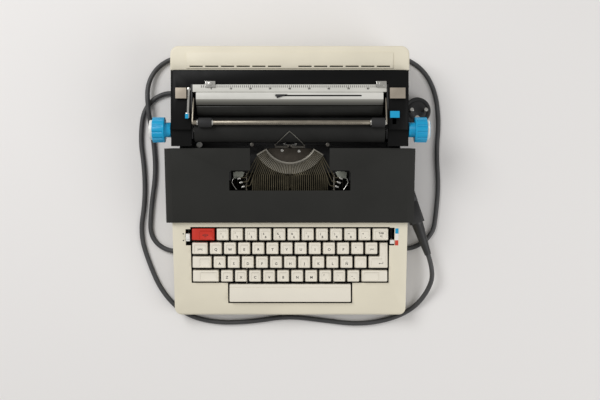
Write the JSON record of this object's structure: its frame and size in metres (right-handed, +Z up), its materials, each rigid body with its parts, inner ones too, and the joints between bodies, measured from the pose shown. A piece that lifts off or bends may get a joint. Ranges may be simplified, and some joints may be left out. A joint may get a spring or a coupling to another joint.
{
  "type": "electric typewriter",
  "caption": "Portable electric typewriter with sliding carriage, platen, sloped keyboard, typebar basket under a lift-off cover, and a mains cord lying round it.",
  "frame": {"origin": "on the table under the feet, midway between the platen knob ends and between the front and rear edges of the case", "axes": "+X to the typist's right along the platen, +Y from the keyboard to the rear, +Z up"},
  "size_m": [0.4201, 0.3788, 0.1052],
  "materials": {
    "cream_plastic": "fine grained moulding",
    "key_plastic": "satin moulding",
    "red_plastic": "satin moulding",
    "cover_paint": "fine grained dark grey",
    "carriage_plastic": "fine grained black",
    "black_plastic": "moulded",
    "chassis_steel": "dark painted sheet",
    "cast_metal": "cast and machined",
    "bright_steel": "nickel plated",
    "dark_steel": "oiled",
    "scale_metal": "light painted sheet",
    "table_metal": "black painted sheet",
    "platen_rubber": "hard dark rubber",
    "roller_rubber": "rubber",
    "foot_rubber": "rubber",
    "blue_plastic": "bright blue",
    "white_plastic": "white",
    "ribbon_fabric": "inked fabric",
    "spool_plastic": "moulded",
    "cord_rubber": "dark grey sheath",
    "plug_plastic": "moulded"
  },
  "bodies": {
    "machine_base": {"base_pan": "black_plastic", "rubber_feet": "foot_rubber", "housing_screws": "bright_steel", "keyboard_housing": "cream_plastic", "rear_cover": "cream_plastic", "chassis_frame": "chassis_steel", "type_segment": "cast_metal", "typebars": "dark_steel", "type_guide": "bright_steel", "card_wire": "bright_steel", "drive_motor": "chassis_steel", "drive_belt": "roller_rubber", "mains_inlet": "plug_plastic", "cord_coupler": "plug_plastic", "mains_plug": "plug_plastic", "mains_cord": "cord_rubber"},
    "cover": {"ribbon_cover": "cover_paint"},
    "ribbon_lift": {"ribbon_carrier": "bright_steel", "ink_ribbon": "ribbon_fabric"},
    "left_spool": {"ribbon_spool_left": "spool_plastic"},
    "right_spool": {"ribbon_spool_right": "spool_plastic"},
    "motor_drive": {"motor_pulley": "bright_steel"},
    "roller_drive": {"power_roller": "dark_steel"},
    "drum": {"mainspring_drum": "bright_steel"},
    "typebar": {"centre_typebar": "dark_steel"},
    "switch": {"power_switch": "white_plastic"},
    "selector": {"ribbon_selector": "white_plastic"},
    "carriage_lock": {"carriage_lock_button": "white_plastic"},
    "carriage": {"carriage_frame": "carriage_plastic", "carriage_end_plates": "bright_steel", "paper_table": "table_metal", "scale_strip": "scale_metal", "margin_rail": "scale_metal"},
    "pointer": {"paper_guide": "black_plastic"},
    "left_stop": {"margin_stop_left": "bright_steel"},
    "right_stop": {"margin_stop_right": "bright_steel"},
    "platen": {"platen_roller": "platen_rubber", "platen_shaft": "bright_steel", "platen_knobs": "blue_plastic"},
    "platen_button": {"knob_button": "white_plastic"},
    "feed": {"feed_rollers": "roller_rubber"},
    "bail": {"paper_bail": "bright_steel"},
    "bail_wheels": {"bail_rollers": "roller_rubber"},
    "left_release": {"carriage_release_left": "bright_steel"},
    "right_release": {"carriage_release_right": "bright_steel"},
    "feed_release": {"paper_release": "blue_plastic"},
    "line_spacer": {"line_space_lever": "bright_steel"},
    "letter_keys_row_1_body": {"letter_keys_row_1": "key_plastic"},
    "letter_keys_row_2_body": {"letter_keys_row_2": "key_plastic"},
    "letter_keys_row_3_body": {"letter_keys_row_3": "key_plastic"},
    "letter_keys_row_4_body": {"letter_keys_row_4": "key_plastic"},
    "centre_key_body": {"centre_key": "key_plastic"},
    "red_key_body": {"red_key": "red_plastic"},
    "tab_key_body": {"tab_key": "key_plastic"},
    "margin_release_key_body": {"margin_release_key": "key_plastic"},
    "backspace_key_body": {"backspace_key": "key_plastic"},
    "shift_lock_key_body": {"shift_lock_key": "key_plastic"},
    "return_key_body": {"return_key": "key_plastic"},
    "shift_keys_body": {"shift_keys": "key_plastic"},
    "space_bar_body": {"space_bar": "key_plastic"}
  },
  "joints": [
    {"name": "cover_lift", "type": "slide", "parent": "machine_base", "child": "cover", "axis": [0, 0, 1], "range_m": [0, 0.06]},
    {"name": "ribbon_raise", "type": "slide", "parent": "machine_base", "child": "ribbon_lift", "axis": [0, 0, 1], "range_m": [0, 0.008]},
    {"name": "left_spool_turn", "type": "hinge", "parent": "machine_base", "child": "left_spool", "pos_m": [-0.1, 0.0245, 0.062], "axis": [0, 0, 1], "continuous": true},
    {"name": "right_spool_turn", "type": "hinge", "parent": "machine_base", "child": "right_spool", "pos_m": [0.1, 0.0245, 0.062], "axis": [0, 0, 1], "continuous": true},
    {"name": "roller_turn", "type": "hinge", "parent": "machine_base", "child": "roller_drive", "pos_m": [0.131, -0.006, 0.019], "axis": [1, 0, 0], "continuous": true},
    {"name": "motor_turn", "type": "hinge", "parent": "machine_base", "child": "motor_drive", "pos_m": [0.131, 0.111, 0.03], "axis": [1, 0, 0], "continuous": true},
    {"name": "carriage_travel", "type": "slide", "parent": "machine_base", "child": "carriage", "axis": [1, 0, 0], "range_m": [-0.11, 0.11]},
    {"name": "drum_turn", "type": "hinge", "parent": "machine_base", "child": "drum", "pos_m": [-0.11, 0.111, 0.023], "axis": [0, 0, 1], "range_deg": [-310, 310]},
    {"name": "typebar_swing", "type": "hinge", "parent": "machine_base", "child": "typebar", "pos_m": [0, 0.027, 0.051], "axis": [-1, 0, 0], "range_deg": [0, 131.16]},
    {"name": "letter_keys_row_1_press", "type": "hinge", "parent": "machine_base", "child": "letter_keys_row_1_body", "pos_m": [0, 0.03, 0.03], "axis": [1, 0, 0], "range_deg": [0, 2.6], "stiffness_Nm_per_rad": 4, "springref_deg": -4.58},
    {"name": "letter_keys_row_2_press", "type": "hinge", "parent": "machine_base", "child": "letter_keys_row_2_body", "pos_m": [0, 0.03, 0.03], "axis": [1, 0, 0], "range_deg": [0, 2.2], "stiffness_Nm_per_rad": 4, "springref_deg": -4.58},
    {"name": "letter_keys_row_3_press", "type": "hinge", "parent": "machine_base", "child": "letter_keys_row_3_body", "pos_m": [0, 0.03, 0.03], "axis": [1, 0, 0], "range_deg": [0, 1.9], "stiffness_Nm_per_rad": 4, "springref_deg": -4.58},
    {"name": "letter_keys_row_4_press", "type": "hinge", "parent": "machine_base", "child": "letter_keys_row_4_body", "pos_m": [0, 0.03, 0.03], "axis": [1, 0, 0], "range_deg": [0, 1.65], "stiffness_Nm_per_rad": 4, "springref_deg": -4.58},
    {"name": "centre_key_press", "type": "hinge", "parent": "machine_base", "child": "centre_key_body", "pos_m": [0, 0.03, 0.03], "axis": [1, 0, 0], "range_deg": [0, 2.2], "stiffness_Nm_per_rad": 0.5, "springref_deg": -4.58},
    {"name": "red_key_press", "type": "hinge", "parent": "machine_base", "child": "red_key_body", "pos_m": [0, 0.03, 0.03], "axis": [1, 0, 0], "range_deg": [0, 2.6], "stiffness_Nm_per_rad": 0.8, "springref_deg": -4.58},
    {"name": "tab_key_press", "type": "hinge", "parent": "machine_base", "child": "tab_key_body", "pos_m": [0, 0.03, 0.03], "axis": [1, 0, 0], "range_deg": [0, 2.6], "stiffness_Nm_per_rad": 0.8, "springref_deg": -4.58},
    {"name": "margin_release_key_press", "type": "hinge", "parent": "machine_base", "child": "margin_release_key_body", "pos_m": [0, 0.03, 0.03], "axis": [1, 0, 0], "range_deg": [0, 2.2], "stiffness_Nm_per_rad": 0.8, "springref_deg": -4.58},
    {"name": "backspace_key_press", "type": "hinge", "parent": "machine_base", "child": "backspace_key_body", "pos_m": [0, 0.03, 0.03], "axis": [1, 0, 0], "range_deg": [0, 2.2], "stiffness_Nm_per_rad": 0.8, "springref_deg": -4.58},
    {"name": "shift_lock_key_press", "type": "hinge", "parent": "machine_base", "child": "shift_lock_key_body", "pos_m": [0, 0.03, 0.03], "axis": [1, 0, 0], "range_deg": [0, 1.9], "stiffness_Nm_per_rad": 0.8, "springref_deg": -4.58},
    {"name": "return_key_press", "type": "hinge", "parent": "machine_base", "child": "return_key_body", "pos_m": [0, 0.03, 0.03], "axis": [1, 0, 0], "range_deg": [0, 1.9], "stiffness_Nm_per_rad": 0.8, "springref_deg": -4.58},
    {"name": "shift_keys_press", "type": "hinge", "parent": "machine_base", "child": "shift_keys_body", "pos_m": [0, 0.03, 0.03], "axis": [1, 0, 0], "range_deg": [0, 1.65], "stiffness_Nm_per_rad": 0.8, "springref_deg": -4.58},
    {"name": "space_bar_press", "type": "hinge", "parent": "machine_base", "child": "space_bar_body", "pos_m": [0, 0.03, 0.03], "axis": [1, 0, 0], "range_deg": [0, 1.4], "stiffness_Nm_per_rad": 1.5, "springref_deg": -4.58},
    {"name": "switch_slide", "type": "slide", "parent": "machine_base", "child": "switch", "axis": [0, 0.9767, 0.2147], "range_m": [-0.005, 0.005]},
    {"name": "selector_slide", "type": "slide", "parent": "machine_base", "child": "selector", "axis": [0, 0.9767, 0.2147], "range_m": [0, 0.0157]},
    {"name": "lock_press", "type": "slide", "parent": "machine_base", "child": "carriage_lock", "axis": [0, 0, -1], "range_m": [0, 0.003], "stiffness_N_per_m": 150, "springref_m": -0.004},
    {"name": "platen_turn", "type": "hinge", "parent": "carriage", "child": "platen", "pos_m": [0, 0.069, 0.078], "axis": [1, 0, 0], "continuous": true},
    {"name": "platen_button_press", "type": "slide", "parent": "platen", "child": "platen_button", "axis": [1, 0, 0], "range_m": [0, 0.0025], "stiffness_N_per_m": 200, "springref_m": -0.002},
    {"name": "feed_turn", "type": "hinge", "parent": "carriage", "child": "feed", "pos_m": [0, 0.0871, 0.06755], "axis": [1, 0, 0], "continuous": true},
    {"name": "bail_open", "type": "hinge", "parent": "carriage", "child": "bail", "pos_m": [0, 0.106, 0.088], "axis": [-1, 0, 0], "range_deg": [0, 60]},
    {"name": "bail_wheel_turn", "type": "hinge", "parent": "bail", "child": "bail_wheels", "pos_m": [0, 0.077, 0.09908], "axis": [1, 0, 0], "continuous": true},
    {"name": "pointer_slide", "type": "slide", "parent": "carriage", "child": "pointer", "axis": [1, 0, 0], "range_m": [0, 0.098]},
    {"name": "left_stop_slide", "type": "slide", "parent": "carriage", "child": "left_stop", "axis": [1, 0, 0], "range_m": [-0.014, 0.095]},
    {"name": "right_stop_slide", "type": "slide", "parent": "carriage", "child": "right_stop", "axis": [1, 0, 0], "range_m": [-0.105, 0]},
    {"name": "left_release_press", "type": "hinge", "parent": "carriage", "child": "left_release", "pos_m": [0, 0.1189, 0.087], "axis": [1, 0, 0], "range_deg": [0, 6], "stiffness_Nm_per_rad": 0.3, "springref_deg": -5.73},
    {"name": "right_release_press", "type": "hinge", "parent": "carriage", "child": "right_release", "pos_m": [0, 0.1189, 0.087], "axis": [1, 0, 0], "range_deg": [0, 6], "stiffness_Nm_per_rad": 0.3, "springref_deg": -5.73},
    {"name": "feed_release_pull", "type": "hinge", "parent": "carriage", "child": "feed_release", "pos_m": [0.1358, 0.08765, 0.074], "axis": [1, 0, 0], "range_deg": [0, 18], "stiffness_Nm_per_rad": 0.1, "springref_deg": -5.73},
    {"name": "line_space_swing", "type": "hinge", "parent": "carriage", "child": "line_spacer", "pos_m": [-0.1306, 0.1206, 0.093], "axis": [0, 0, -1], "range_deg": [0, 25], "stiffness_Nm_per_rad": 0.05, "springref_deg": -5.73}
  ],
  "couplings": [
    {"joint": "right_spool_turn", "follows": "left_spool_turn", "ratio": 1},
    {"joint": "roller_turn", "follows": "motor_turn", "ratio": 0.83333},
    {"joint": "drum_turn", "follows": "carriage_travel", "rad_per_m": 48.78},
    {"joint": "feed_turn", "follows": "platen_turn", "ratio": -3.5556},
    {"joint": "centre_key_press", "follows": "typebar_swing", "ratio": 0.016772}
  ]
}
